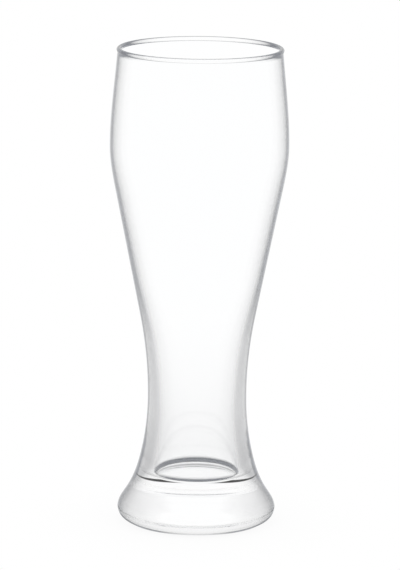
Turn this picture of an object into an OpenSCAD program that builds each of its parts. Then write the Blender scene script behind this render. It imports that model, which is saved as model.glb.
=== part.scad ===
// Weizen glass: a tall, waisted wheat beer glass of clear glass, empty.
// The bowl and the foot are two gathers of glass, fused face to face at the collar.
// The origin is the middle of the ring that the glass stands on, with Z up, in millimetres.

/* [Foot] */
// Diameter of the foot at its widest ring
foot_diameter = 78.5; // [72:0.5:92]
// Height of the widest ring above the table
foot_edge_height = 6.8; // [4:0.1:10]
// How far the rounded lower edge reaches in from the widest ring
foot_edge_width = 8; // [5:0.5:12]
// Angle between the table and the lower edge where the edge leaves the standing ring, in degrees
stand_edge_angle = 31; // [20:0.5:42]
// Width of the flat ring that the glass stands on
stand_ring_width = 2; // [1:0.5:5]
// Depth of the hollow under the foot
hollow_depth = 0.5; // [0.3:0.1:3]
// Width of the soft wall between the hollow's flat top and the standing ring
hollow_wall = 3; // [2:0.5:12]
// Rise from the widest ring to the steepest part of the flare
flare_rise = 5.7; // [4:0.1:8]
// Diameter at the steepest part of the flare
flare_diameter = 74.4; // [68:0.2:77]
// Lean of the flare from upright, in degrees
flare_angle = 33.8; // [25:0.2:42]

/* [Collar] */
// Rise from the steepest part of the flare to the collar, where bowl and foot are fused
collar_rise = 6.2; // [4:0.1:9]
// Diameter of the collar
collar_diameter = 66.6; // [58:0.2:72]
// Lean of the surface from upright at the collar, in degrees
collar_angle = 28; // [20:0.2:36]
// Rise from the collar to the lower stem
stem_rise = 16.6; // [14:0.1:22]
// Diameter of the lower stem
stem_diameter = 55.2; // [52:0.2:62]
// Lean of the surface from upright at the lower stem, in degrees
stem_angle = 12.7; // [8:0.1:18]

/* [Bowl] */
// Rise from the lower stem to the waist
waist_rise = 28.4; // [20:0.2:40]
// Diameter of the waist
waist_diameter = 49; // [44:0.2:56]
// Rise from the waist to the start of the straight cone
cone_rise = 40.9; // [30:0.2:55]
// Diameter at the start of the straight cone
cone_diameter = 57.4; // [54:0.2:64]
// Lean of the straight cone from upright, in degrees
cone_angle = 11.4; // [9:0.1:13]
// Height of the straight cone
cone_height = 62; // [50:0.5:70]
// Rise from the top of the cone to the widest ring
shoulder_rise = 22.8; // [16:0.2:30]
// Diameter of the widest ring
widest_diameter = 88.5; // [85:0.5:98]
// Rise from the widest ring to the middle of the rim bead
lip_rise = 47.4; // [36:0.2:60]
// Diameter of the wall where it runs into the rim bead
lip_diameter = 81.4; // [76:0.2:86]
// Inward lean of the wall from upright at the rim bead, in degrees
lip_angle = 4.6; // [2:0.1:8]
// Diameter of the round bead along the rim
bead_diameter = 2.4; // [1.8:0.1:3.4]

/* [Wall] */
// Thickness of the bowl's floor above the collar
floor_thickness = 3.5; // [2:0.1:6]
// Radius of the rounding between the floor and the wall of the cavity
floor_round = 4; // [2:0.2:6]
// Outward lean of the cavity wall from upright below the lower stem, in degrees
well_angle = 8.5; // [4:0.1:14]
// Wall thickness at the lower stem
stem_wall = 7.6; // [5:0.1:9]
// Wall thickness at the waist
waist_wall = 5.95; // [3.5:0.05:8]
// Wall thickness at the start of the straight cone
cone_wall = 3.95; // [2.5:0.05:6]
// Wall thickness at the top of the straight cone
shoulder_wall = 1.8; // [1.2:0.05:3]
// Wall thickness at the widest ring
widest_wall = 1.4; // [1:0.05:2.4]
// Wall thickness where the wall runs into the rim bead
lip_wall = 1.35; // [1:0.05:1.7]

/* [Hidden] */

// Straight steps that stand for one curved stretch of an outline
curve_steps = 10;
// Straight steps that stand for the rounding at the floor
round_steps = 8;
$fn = 180;

clear_glass = [0.93, 0.96, 0.96, 0.4];

// Heights of the stations above the table
flare_height = foot_edge_height + flare_rise;
collar_height = flare_height + collar_rise;
stem_height = collar_height + stem_rise;
waist_height = stem_height + waist_rise;
cone_start_height = waist_height + cone_rise;
cone_top_height = cone_start_height + cone_height;
widest_height = cone_top_height + shoulder_rise;
lip_height = widest_height + lip_rise;
floor_height = collar_height + floor_thickness;
well_height = floor_height + floor_round;

// Outer radii at the stations
foot_radius = foot_diameter / 2;
flare_radius = flare_diameter / 2;
collar_radius = collar_diameter / 2;
stem_radius = stem_diameter / 2;
waist_radius = waist_diameter / 2;
cone_start_radius = cone_diameter / 2;
cone_top_radius = cone_start_radius + cone_height * tan(cone_angle);
widest_radius = widest_diameter / 2;
lip_radius = lip_diameter / 2;

// Lower edge of the foot: a quarter of an ellipse that is cut short where it would flatten out.
// Its first turn is where it has the standing edge's angle, and it runs straight from there to the table.
first_turn = atan(tan(stand_edge_angle) * foot_edge_width / foot_edge_height);
first_edge_point = edge_point(first_turn);
stand_ring_outer = first_edge_point[0] - first_edge_point[1] / tan(stand_edge_angle);
stand_ring_inner = stand_ring_outer - stand_ring_width;
hollow_top_radius = stand_ring_inner - hollow_wall;

// Radii of the cavity
well_slope = tan(well_angle);
stem_cavity = stem_radius - stem_wall;
well_radius = stem_cavity + (stem_height - well_height) * well_slope;
floor_corner_radius = well_radius + floor_round * well_slope;
cone_start_cavity = cone_start_radius - cone_wall;
cone_top_cavity = cone_top_radius - shoulder_wall;
cavity_cone_slope = (cone_top_cavity - cone_start_cavity) / cone_height;

// Outer surface from the foot's widest ring upward.
// A station is [height, radius, slope], and its slope is the growth of the radius with height.
foot_stations = [
    [foot_edge_height, foot_radius, 0],
    [flare_height, flare_radius, -tan(flare_angle)],
    [collar_height, collar_radius, -tan(collar_angle)],
];
bowl_stations = [
    [collar_height, collar_radius, -tan(collar_angle)],
    [stem_height, stem_radius, -tan(stem_angle)],
    [waist_height, waist_radius, 0],
    [cone_start_height, cone_start_radius, tan(cone_angle)],
    [cone_top_height, cone_top_radius, tan(cone_angle)],
    [widest_height, widest_radius, 0],
    [lip_height, lip_radius, -tan(lip_angle)],
];

// Wall of the cavity, from the rounding at the floor upward
cavity_stations = [
    [well_height, well_radius, -well_slope],
    [stem_height, stem_cavity, -well_slope],
    [waist_height, waist_radius - waist_wall, 0],
    [cone_start_height, cone_start_cavity, cavity_cone_slope],
    [cone_top_height, cone_top_cavity, cavity_cone_slope],
    [widest_height, widest_radius - widest_wall, 0],
    [lip_height, lip_radius - lip_wall, -tan(lip_angle)],
];

// Point [radius, height] at share t of the way up the smooth curve from station a to station b
function curve_point(a, b, t) =
    let (rise = b[0] - a[0], back = (1 - t) * (1 - t))
    [
        (1 + 2 * t) * back * a[1] + t * back * rise * a[2]
            + t * t * (3 - 2 * t) * b[1] - t * t * (1 - t) * rise * b[2],
        a[0] + t * rise
    ];

// A stretch whose ends have the same slope is straight, and needs no points between them
function stretch_steps(a, b) = a[2] == b[2] ? 1 : curve_steps;

// Outline through a list of stations, from the lowest to the highest
function outline(stations) = [
    for (i = [0 : len(stations) - 2])
        let (a = stations[i], b = stations[i + 1], steps = stretch_steps(a, b))
            for (k = [i == 0 ? 0 : 1 : steps]) curve_point(a, b, k / steps)
];

function reversed(points) = [for (i = [len(points) - 1 : -1 : 0]) points[i]];

// Rounding from the cavity's wall to its floor, drawn toward the corner where the two would meet
function floor_rounding() =
    let (
        wall_end = [well_radius, well_height],
        corner = [floor_corner_radius, floor_height],
        floor_end = [floor_corner_radius - floor_round, floor_height]
    )
    [
        for (k = [1 : round_steps])
            let (t = k / round_steps)
                (1 - t) * (1 - t) * wall_end + 2 * t * (1 - t) * corner + t * t * floor_end
    ];

// Wall of the hollow under the foot, from the edge of its flat top to the ring that the glass stands on
function hollow_curve() = [
    for (k = [0 : curve_steps])
        let (t = k / curve_steps)
            [hollow_top_radius + t * hollow_wall, hollow_depth * (1 + cos(180 * t)) / 2]
];

// Point [radius, height] of the foot's lower edge, which is level at turn 0 and upright at turn 90
function edge_point(turn) = [
    foot_radius - foot_edge_width * (1 - sin(turn)),
    foot_edge_height * (1 - cos(turn))
];

// Lower edge of the foot, from the standing ring to just under the widest ring
function foot_edge() = concat(
    [[stand_ring_outer, 0]],
    [for (k = [0 : curve_steps - 1]) edge_point(first_turn + (90 - first_turn) * k / curve_steps)]
);

// Half section of the bowl's wall and floor
module bowl_wall() {
    polygon(concat(
        outline(bowl_stations),
        reversed(outline(cavity_stations)),
        floor_rounding(),
        [[0, floor_height], [0, collar_height]]
    ));
}

// Section of the bead that fire polishing leaves along the rim
module rim_bead() {
    translate([lip_radius - lip_wall / 2, lip_height])
        circle(d = bead_diameter);
}

// Hollow body with its thick floor, waist, cone, shoulder and rim
module bowl() {
    color(clear_glass)
        rotate_extrude() {
            bowl_wall();
            rim_bead();
        }
}

// Solid flared foot, with a shallow flat hollow underneath
module foot() {
    color(clear_glass)
        rotate_extrude()
            polygon(concat(
                [[0, hollow_depth]],
                hollow_curve(),
                foot_edge(),
                outline(foot_stations),
                [[0, collar_height]]
            ));
}

bowl();
foot();
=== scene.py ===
"""Weizen glass: the clear glass bowl and foot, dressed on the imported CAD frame, in a white studio."""

import math

import bpy
import numpy as np
from mathutils import Matrix, Vector


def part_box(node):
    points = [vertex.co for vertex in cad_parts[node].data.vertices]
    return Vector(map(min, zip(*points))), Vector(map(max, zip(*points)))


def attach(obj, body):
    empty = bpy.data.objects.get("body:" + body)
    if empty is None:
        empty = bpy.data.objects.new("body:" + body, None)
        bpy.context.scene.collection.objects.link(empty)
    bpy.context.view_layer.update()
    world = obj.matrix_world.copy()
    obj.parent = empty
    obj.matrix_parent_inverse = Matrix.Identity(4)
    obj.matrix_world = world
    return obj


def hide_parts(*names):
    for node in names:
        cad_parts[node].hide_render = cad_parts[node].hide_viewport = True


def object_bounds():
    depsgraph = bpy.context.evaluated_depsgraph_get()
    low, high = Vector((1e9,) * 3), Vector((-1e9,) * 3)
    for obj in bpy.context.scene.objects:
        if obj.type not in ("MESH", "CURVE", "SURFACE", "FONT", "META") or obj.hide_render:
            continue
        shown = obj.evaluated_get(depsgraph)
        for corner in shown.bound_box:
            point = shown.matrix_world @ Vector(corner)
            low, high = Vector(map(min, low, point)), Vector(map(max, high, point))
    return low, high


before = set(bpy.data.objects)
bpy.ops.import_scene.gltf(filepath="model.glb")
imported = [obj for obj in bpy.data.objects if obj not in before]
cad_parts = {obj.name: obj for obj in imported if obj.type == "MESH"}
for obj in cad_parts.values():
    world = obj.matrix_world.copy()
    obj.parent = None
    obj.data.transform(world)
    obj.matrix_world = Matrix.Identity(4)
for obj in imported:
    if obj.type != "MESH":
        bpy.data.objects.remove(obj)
cad_low, cad_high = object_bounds()
height = cad_high.z - cad_low.z
foot_low, foot_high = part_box("foot")
foot_height = foot_high[2] - foot_low[2]
foot_radius = (foot_high[0] - foot_low[0]) / 2

# Camera, fitted to the photograph. Distances are in heights of the glass, angles in degrees.
LENS_MM = 283.5
SENSOR_MM = 36.0
CAMERA_BACK = 9.173
CAMERA_UP = 2.298
CAMERA_SIDE = 0.0038
CAMERA_PITCH = 11.084
CAMERA_ROLL = 0.575
# A camera that is turned up by this angle, from straight down, looks level.
LEVEL_VIEW = 90
# The camera sees this far, in metres.
CAMERA_REACH = 100

# Mesh: rings along an outline are at most this far apart, in metres, and turn by at most this angle,
# in degrees. Each ring has this many points.
RING_STEP = 0.002
RING_TURN = 2.5
RING_POINTS = 160
# Faces that meet at more than this angle, in degrees, keep a crisp edge.
CRISP_ANGLE = 20
# The bead of the rim reaches this far down from the top, in metres.
RIM_DEPTH = 0.0024

# Vertices of one CAD ring agree to within this, and a ring this close to a straight line is dropped.
SAME_RING = 4e-6
STRAIGHT = 2e-7
# A face whose normal leans from upright by less than this is a flat disc.
FLAT = 1e-3

# Material slots of both meshes
OUTSIDE, INSIDE, SEAM = range(3)

# Sockets of a Mix node that mixes colours, by their places in its lists
MIX_SHARE = 0
MIX_FIRST = 6
MIX_SECOND = 7
MIX_RESULT = 2

# Glass. In an all-white studio clear glass shows no edges, so the outer face gets painted shade: it is
# tinted grey where it turns away from the eye.
GLASS_COLOUR = (0.996, 0.998, 1.0, 1)
PAINTED_SHADE_COLOUR = (0.02, 0.024, 0.034, 1)
GLASS_IOR = 1.52
# Share that the painted edge shade leaves unshaded on the outer face, by how far it turns away: 0 is
# facing and 1 is edge on.
BOWL_PAINTED_EDGE_SHADE_TONES = (
    (0.40, 1.0), (0.49, 0.965), (0.57, 0.86), (0.63, 0.765),
    (0.69, 0.58), (0.73, 0.4), (0.78, 0.1), (0.85, 0.0),
)
# The same painted edge shade on the foot's outer face.
FOOT_PAINTED_EDGE_SHADE_TONES = (
    (0.10, 1.0), (0.15, 0.95), (0.25, 0.885), (0.35, 0.85),
    (0.45, 0.79), (0.57, 0.62), (0.72, 0.28), (0.82, 0.02),
)
# By height on the bowl, as a share of the whole height: how much further in the painted edge shade reaches
# where the wall is thicker, and how light that painted shade stays there.
SHADE_REACH_TONES = (
    (0.08, 0.12), (0.13, 0.41), (0.24, 0.4), (0.39, 0.28),
    (0.52, 0.1), (0.78, 0.0), (0.985, 0.0), (0.991, 0.25),
)
SHADE_LIFT_TONES = (
    (0.08, 0.4), (0.13, 0.57), (0.24, 0.66), (0.39, 0.58),
    (0.46, 0.38), (0.52, 0.17), (0.70, 0.07),
)
# From the first of these turns to the second the painted edge shade loses that light, which draws a thin
# painted dark outline.
PAINTED_OUTLINE_START = 0.73
PAINTED_OUTLINE_END = 0.83
# That painted outline is wider on the lower stem, by these turns.
PAINTED_OUTLINE_REACH_TONES = ((0.08, 0.0), (0.1, 0.1), (0.17, 0.1), (0.21, 0.0))
# The thick glass of the stem takes a little light everywhere: the share that is left, by height.
BODY_TONES = ((0.09, 1.0), (0.12, 0.962), (0.17, 0.968), (0.25, 0.983), (0.4, 1.0))
# The foot's edge loses its painted shade between these shares of the foot's height, where it rounds under.
FOOT_SHADE_FADE_START = 0.03
FOOT_SHADE_FADE_END = 0.4
# Between these turns the painted shade comes back, as a thin painted outline.
FOOT_PAINTED_OUTLINE_START = 0.66
FOOT_PAINTED_OUTLINE_END = 0.78
# The rounding between the wall and the floor of the cavity has painted shade: the share left unshaded, by
# height above that floor in metres.
ROUNDING_SHADE_TONES = ((0.0005, 1.0), (0.0009, 0.12), (0.0026, 0.12), (0.0034, 0.75), (0.0042, 1.0))
ROUNDING_SHADE_SPAN = 0.005
# Faint waves and haze, as on hot-worked glass. The height of the waves is in metres.
WAVE_SCALE = 45
WAVE_HEIGHT = 0.00002
HAZE_SCALE = 20
HAZE_ROUGHNESS = 0.01

# Studio: white light from all sides
LIGHT_COLOUR = (1, 1, 1, 1)
LIGHT_STRENGTH = 1.0
# Light is followed through this many surfaces, because glass turns it round many times.
LIGHT_BOUNCES = 128
# Painted shadow rings on the floor, which only the glass shows, by distance from the axis as a share of
# the foot's radius. They draw the lines round the floor of the bowl.
PAINTED_SHADOW_RING_TONES = (
    (0.86, 1.0), (0.88, 0.5), (0.96, 0.5), (0.98, 0.6), (1.06, 0.6), (1.08, 1.0),
    (1.33, 1.0), (1.35, 0.0), (1.42, 0.0), (1.44, 1.0),
)
PAINTED_SHADOW_RING_SPAN = 1.5
# The soft shadow that the camera sees beside the foot: its depth, and its reach in metres
SHADOW_DEPTH = 0.06
SHADOW_REACH = 0.06
# Side of the floor, and its drop below the foot, in metres
FLOOR_SIZE = 40
FLOOR_DROP = 0.0002


# Outlines, read from the CAD meshes

def rings_facing(node, side):
    """Rings (radius, height) of a CAD node's curved faces that look outward (side 1) or inward (-1)."""
    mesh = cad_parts[node].data
    found = set()
    for face in mesh.polygons:
        centre = Vector((face.center.x, face.center.y))
        if centre.length and side * face.normal.xy.dot(centre.normalized()) > FLAT:
            found.update(face.vertices)
    points = np.array([mesh.vertices[i].co for i in found])
    rings = np.stack([np.hypot(points[:, 0], points[:, 1]), points[:, 2]], axis=1)
    return rings[np.lexsort((rings[:, 0], rings[:, 1]))]


def distinct(rings):
    """The same rings in order, each once."""
    kept = [rings[0]]
    for ring in rings[1:]:
        if np.linalg.norm(ring - kept[-1]) > SAME_RING:
            kept.append(ring)
    return np.array(kept)


def bends(rings):
    """Leaves out the rings that lie on the straight line between their neighbours."""
    kept = [rings[0]]
    for before, ring, after in zip(rings[:-2], rings[1:-1], rings[2:]):
        along = after - before
        off = ring - before
        if abs(along[0] * off[1] - along[1] * off[0]) > STRAIGHT * np.linalg.norm(along):
            kept.append(ring)
    kept.append(rings[-1])
    return np.array(kept)


def corners(rings):
    """Places in the list where the outline starts, ends or bends crisply."""
    steps = np.diff(rings, axis=0)
    heading = np.unwrap(np.arctan2(steps[:, 1], steps[:, 0]))
    crisp = np.nonzero(np.abs(np.diff(heading)) > math.radians(CRISP_ANGLE))[0] + 1
    return [0, *crisp, len(rings) - 1]


def between(a, b, leave, arrive, t):
    """Ring on the cubic Hermite curve from a (t 0) to b (t 1), which leaves and arrives along tangents."""
    span = np.linalg.norm(b - a)
    return (
        (1 + 2 * t) * (1 - t) ** 2 * a + t * (1 - t) ** 2 * span * leave
        + t * t * (3 - 2 * t) * b - t * t * (1 - t) * span * arrive
    )


def smooth(rings):
    """Fills in rings along a smooth curve through the given ones, from one crisp corner to the next."""
    places = corners(rings)
    curve = []
    for first, last in zip(places[:-1], places[1:]):
        run = rings[first:last + 1]
        tangents = np.gradient(run, axis=0)
        tangents /= np.linalg.norm(tangents, axis=1)[:, None]
        for a, b, leave, arrive in zip(run[:-1], run[1:], tangents[:-1], tangents[1:]):
            span = np.linalg.norm(b - a)
            turn = math.degrees(math.acos(np.clip(leave @ arrive, -1, 1)))
            count = math.ceil(max(span / RING_STEP, turn / RING_TURN))
            curve.extend(between(a, b, leave, arrive, t) for t in np.arange(count) / count)
    curve.append(rings[-1])
    return np.array(curve)


# Meshes

def finish_between(low, high, seam_height):
    """Material slot of the faces between two rings that follow each other on an outline."""
    if max(abs(low[1] - seam_height), abs(high[1] - seam_height)) < SAME_RING:
        return SEAM
    on_rim = min(low[1], high[1]) > height - RIM_DEPTH
    rising = high[1] - low[1] > SAME_RING
    return OUTSIDE if on_rim or rising else INSIDE


def lathe(name, outline, materials, seam_height):
    """A closed body of revolution of an outline that runs from the axis back to the axis."""
    turns = np.arange(RING_POINTS) * 2 * math.pi / RING_POINTS
    points = []
    starts = []
    for radius, level in outline:
        starts.append(len(points))
        if radius < SAME_RING:
            points.append((0, 0, level))
        else:
            points.extend((radius * math.cos(t), radius * math.sin(t), level) for t in turns)
    faces = []
    finishes = []
    for a, b, low, high in zip(starts[:-1], starts[1:], outline[:-1], outline[1:]):
        for k in range(RING_POINTS):
            n = (k + 1) % RING_POINTS
            if low[0] < SAME_RING:
                face = (a, b + n, b + k)
            elif high[0] < SAME_RING:
                face = (a + k, a + n, b)
            else:
                face = (a + k, a + n, b + n, b + k)
            faces.append(face)
        finishes += [finish_between(low, high, seam_height)] * RING_POINTS
    mesh = bpy.data.meshes.new(name)
    mesh.from_pydata(points, [], faces)
    for material in materials:
        mesh.materials.append(material)
    mesh.polygons.foreach_set("material_index", finishes)
    mesh.polygons.foreach_set("use_smooth", [True] * len(faces))
    mesh.set_sharp_from_angle(angle=math.radians(CRISP_ANGLE))
    piece = bpy.data.objects.new(name, mesh)
    bpy.context.scene.collection.objects.link(piece)
    return piece


# Node helpers

def new_material(name):
    material = bpy.data.materials.new(name)
    material.use_nodes = True
    material.node_tree.nodes.clear()
    return material, material.node_tree.nodes, material.node_tree.links


def feed(links, socket, value):
    """Gives an input another socket to follow, or a plain value."""
    if isinstance(value, bpy.types.NodeSocket):
        links.new(value, socket)
    else:
        socket.default_value = value


def calculate(nodes, links, operation, *values):
    """Result of a Math node on sockets or plain numbers."""
    node = nodes.new("ShaderNodeMath")
    node.operation = operation
    for socket, value in zip(node.inputs, values):
        feed(links, socket, value)
    return node.outputs["Value"]


def mix_colours(nodes, links, share, first, second):
    """Colour from the first (share 0) to the second (share 1), each a socket or a plain colour."""
    node = nodes.new("ShaderNodeMix")
    node.data_type = "RGBA"
    links.new(share, node.inputs[MIX_SHARE])
    feed(links, node.inputs[MIX_FIRST], first)
    feed(links, node.inputs[MIX_SECOND], second)
    return node.outputs[MIX_RESULT]


def rescale(nodes, links, value, start, end, to_start=0.0, to_end=1.0):
    """The value moved from one range to another, and held at its ends."""
    node = nodes.new("ShaderNodeMapRange")
    links.new(value, node.inputs["Value"])
    node.inputs["From Min"].default_value = start
    node.inputs["From Max"].default_value = end
    node.inputs["To Min"].default_value = to_start
    node.inputs["To Max"].default_value = to_end
    return node.outputs["Result"]


def tones(nodes, links, place, stops, span=1.0):
    """Run of greys by place, from stops (place, tone). The places lie between 0 and the span."""
    ramp = nodes.new("ShaderNodeValToRGB")
    elements = ramp.color_ramp.elements
    while len(elements) < len(stops):
        elements.new(1.0)
    for element, (position, tone) in zip(elements, stops):
        element.position = position / span
        element.color = (tone, tone, tone, 1)
    links.new(calculate(nodes, links, "DIVIDE", place, span), ramp.inputs["Fac"])
    return ramp.outputs["Color"]


def on_object(nodes):
    """Place on the surface, in metres from the middle of the foot's underside."""
    return nodes.new("ShaderNodeTexCoord").outputs["Object"]


def noise(nodes, links, scale):
    """Soft noise over the object, from 0 to 1."""
    node = nodes.new("ShaderNodeTexNoise")
    node.inputs["Scale"].default_value = scale
    links.new(on_object(nodes), node.inputs["Vector"])
    return node.outputs["Fac"]


def level_above_table(nodes, links):
    """Height of the surface above the table, in metres."""
    split = nodes.new("ShaderNodeSeparateXYZ")
    links.new(on_object(nodes), split.inputs["Vector"])
    return split.outputs["Z"]


def turned_away(nodes):
    """How far the surface turns away from the eye: 0 is facing and 1 is edge on."""
    return nodes.new("ShaderNodeLayerWeight").outputs["Facing"]


def finish_surface(nodes, links, shader):
    output = nodes.new("ShaderNodeOutputMaterial")
    links.new(shader, output.inputs["Surface"])


# Materials

def glass_shader(nodes, links):
    """Clear glass with faint waves and haze."""
    shader = nodes.new("ShaderNodeBsdfPrincipled")
    shader.inputs["Base Color"].default_value = GLASS_COLOUR
    shader.inputs["Transmission Weight"].default_value = 1.0
    shader.inputs["IOR"].default_value = GLASS_IOR
    haze = noise(nodes, links, HAZE_SCALE)
    links.new(rescale(nodes, links, haze, 0, 1, 0, HAZE_ROUGHNESS), shader.inputs["Roughness"])
    waves = nodes.new("ShaderNodeBump")
    waves.inputs["Distance"].default_value = WAVE_HEIGHT
    links.new(noise(nodes, links, WAVE_SCALE), waves.inputs["Height"])
    links.new(waves.outputs["Normal"], shader.inputs["Normal"])
    finish_surface(nodes, links, shader.outputs["BSDF"])
    return shader


def paint_shade(nodes, links, shader, unshaded):
    """Paints shade into the glass's colour by the share left unshaded, squared because the shader takes
    the root of its colour.
    """
    squared = calculate(nodes, links, "MULTIPLY", unshaded, unshaded)
    colour = mix_colours(nodes, links, squared, PAINTED_SHADE_COLOUR, GLASS_COLOUR)
    links.new(colour, shader.inputs["Base Color"])


def bowl_glass():
    """Outer face of the bowl, whose painted edge shade widens towards the thick stem."""
    material, nodes, links = new_material("clear_glass_bowl")
    shader = glass_shader(nodes, links)
    level = calculate(nodes, links, "DIVIDE", level_above_table(nodes, links), height)
    away = turned_away(nodes)
    turn = calculate(nodes, links, "ADD", away, tones(nodes, links, level, SHADE_REACH_TONES))
    shaded_edge = tones(nodes, links, turn, BOWL_PAINTED_EDGE_SHADE_TONES)
    outline_turn = calculate(nodes, links, "ADD", away, tones(nodes, links, level, PAINTED_OUTLINE_REACH_TONES))
    kept = rescale(nodes, links, outline_turn, PAINTED_OUTLINE_START, PAINTED_OUTLINE_END, 1, 0)
    shade_lift = calculate(nodes, links, "MULTIPLY", tones(nodes, links, level, SHADE_LIFT_TONES), kept)
    rest = calculate(nodes, links, "SUBTRACT", 1.0, shade_lift)
    unshaded = calculate(nodes, links, "MULTIPLY_ADD", shaded_edge, rest, shade_lift)
    body = tones(nodes, links, level, BODY_TONES)
    paint_shade(nodes, links, shader, calculate(nodes, links, "MULTIPLY", unshaded, body))
    return material


def foot_glass():
    """Outer face of the foot, whose painted edge shade fades where it rounds under."""
    material, nodes, links = new_material("clear_glass_foot")
    shader = glass_shader(nodes, links)
    level = calculate(nodes, links, "DIVIDE", level_above_table(nodes, links), foot_height)
    away = turned_away(nodes)
    shaded_edge = tones(nodes, links, away, FOOT_PAINTED_EDGE_SHADE_TONES)
    above = rescale(nodes, links, level, FOOT_SHADE_FADE_START, FOOT_SHADE_FADE_END)
    outline = rescale(nodes, links, away, FOOT_PAINTED_OUTLINE_START, FOOT_PAINTED_OUTLINE_END)
    shade_mask = calculate(nodes, links, "MAXIMUM", above, outline)
    full_shade = calculate(nodes, links, "SUBTRACT", 1.0, shaded_edge)
    painted_shade = calculate(nodes, links, "MULTIPLY", full_shade, shade_mask)
    paint_shade(nodes, links, shader, calculate(nodes, links, "SUBTRACT", 1.0, painted_shade))
    return material


def inside_glass(floor_level):
    """Inner face of the bowl, with painted shade on the rounding above its floor, and underside of the
    foot.
    """
    material, nodes, links = new_material("clear_glass_inside")
    shader = glass_shader(nodes, links)
    above = calculate(nodes, links, "SUBTRACT", level_above_table(nodes, links), floor_level)
    paint_shade(nodes, links, shader, tones(nodes, links, above, ROUNDING_SHADE_TONES, ROUNDING_SHADE_SPAN))
    return material


def fused_seam():
    """The joint between the two pieces: one glass, so light passes without bending."""
    material, nodes, links = new_material("fused_seam")
    shader = nodes.new("ShaderNodeBsdfTransparent")
    finish_surface(nodes, links, shader.outputs["BSDF"])
    return material


def painted_shadow_rings(nodes, links):
    """The floor as the glass shows it: white, with painted shadow rings under and beside the foot."""
    distance = nodes.new("ShaderNodeVectorMath")
    distance.operation = "LENGTH"
    links.new(on_object(nodes), distance.inputs["Vector"])
    share = calculate(nodes, links, "DIVIDE", distance.outputs["Value"], foot_radius)
    return tones(nodes, links, share, PAINTED_SHADOW_RING_TONES, PAINTED_SHADOW_RING_SPAN)


def soft_shadow(nodes, links):
    """The floor as the camera sees it: white, with a soft shadow beside the foot."""
    open_sky = nodes.new("ShaderNodeAmbientOcclusion")
    open_sky.inputs["Distance"].default_value = SHADOW_REACH
    return rescale(nodes, links, open_sky.outputs["AO"], 0, 1, 1 - SHADOW_DEPTH, 1)


def white_floor():
    """White to the camera, with a soft shadow, and to the glass, with painted shadow rings. Other rays
    meet pale paint.
    """
    material, nodes, links = new_material("white_floor")
    path = nodes.new("ShaderNodeLightPath")
    straight = path.outputs["Is Camera Ray"]
    seen = straight
    for name in ("Is Glossy Ray", "Is Transmission Ray"):
        seen = calculate(nodes, links, "MAXIMUM", seen, path.outputs[name])
    # Painted shadow rings, which only the glass shows
    rings = painted_shadow_rings(nodes, links)
    shadow = soft_shadow(nodes, links)
    glow = nodes.new("ShaderNodeEmission")
    links.new(mix_colours(nodes, links, straight, rings, shadow), glow.inputs["Color"])
    paint = nodes.new("ShaderNodeBsdfDiffuse")
    mix = nodes.new("ShaderNodeMixShader")
    share, unseen_side, seen_side = mix.inputs
    links.new(seen, share)
    links.new(paint.outputs["BSDF"], unseen_side)
    links.new(glow.outputs["Emission"], seen_side)
    finish_surface(nodes, links, mix.outputs["Shader"])
    return material


# The glass

foot_outer = distinct(rings_facing("foot", 1))
hollow = distinct(rings_facing("foot", -1))[::-1]
bowl_outer = distinct(rings_facing("bowl", 1))
cavity = distinct(rings_facing("bowl", -1))[::-1]
collar_height = bowl_outer[0][1]
cavity_floor = cavity[-1][1]

# Both outlines run from the axis round the outside. The bowl's two sides share the ring on top of the rim.
bowl_outline = np.concatenate([
    [(0.0, collar_height)],
    smooth(bends(np.concatenate([bowl_outer, cavity[1:], [(0.0, cavity_floor)]]))),
])
foot_outline = np.concatenate([
    smooth(bends(np.concatenate([[(0.0, hollow[0][1])], hollow, foot_outer]))),
    [(0.0, collar_height)],
])
inside = inside_glass(cavity_floor)
seam = fused_seam()
bowl = lathe("glass_bowl", bowl_outline, [bowl_glass(), inside, seam], collar_height)
foot = lathe("glass_foot", foot_outline, [foot_glass(), inside, seam], collar_height)
for piece, node in ((bowl, "bowl"), (foot, "foot")):
    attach(piece, "root")
    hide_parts(node)


# The studio

def add_camera():
    lens = bpy.data.cameras.new("camera")
    lens.lens = LENS_MM
    lens.sensor_width = SENSOR_MM
    lens.clip_end = CAMERA_REACH
    camera = bpy.data.objects.new("camera", lens)
    bpy.context.scene.collection.objects.link(camera)
    place = Vector((CAMERA_SIDE * height, -CAMERA_BACK * height, CAMERA_UP * height))
    camera.matrix_world = (
        Matrix.Translation(place)
        @ Matrix.Rotation(math.radians(LEVEL_VIEW - CAMERA_PITCH), 4, "X")
        @ Matrix.Rotation(math.radians(CAMERA_ROLL), 4, "Z")
    )
    bpy.context.scene.camera = camera


def add_floor():
    half = FLOOR_SIZE / 2
    around = ((-half, -half), (half, -half), (half, half), (-half, half))
    mesh = bpy.data.meshes.new("floor")
    mesh.from_pydata([(x, y, -FLOOR_DROP) for x, y in around], [], [(0, 1, 2, 3)])
    mesh.materials.append(white_floor())
    floor = bpy.data.objects.new("floor", mesh)
    bpy.context.scene.collection.objects.link(floor)


def light_world():
    world = bpy.data.worlds.new("studio")
    bpy.context.scene.world = world
    world.use_nodes = True
    soft = world.node_tree.nodes["Background"]
    soft.inputs["Color"].default_value = LIGHT_COLOUR
    soft.inputs["Strength"].default_value = LIGHT_STRENGTH


def follow_light():
    cycles = bpy.context.scene.cycles
    cycles.max_bounces = LIGHT_BOUNCES
    cycles.glossy_bounces = LIGHT_BOUNCES
    cycles.transmission_bounces = LIGHT_BOUNCES
    cycles.transparent_max_bounces = LIGHT_BOUNCES


add_camera()
add_floor()
light_world()
follow_light()
bpy.context.scene.view_settings.view_transform = "Standard"
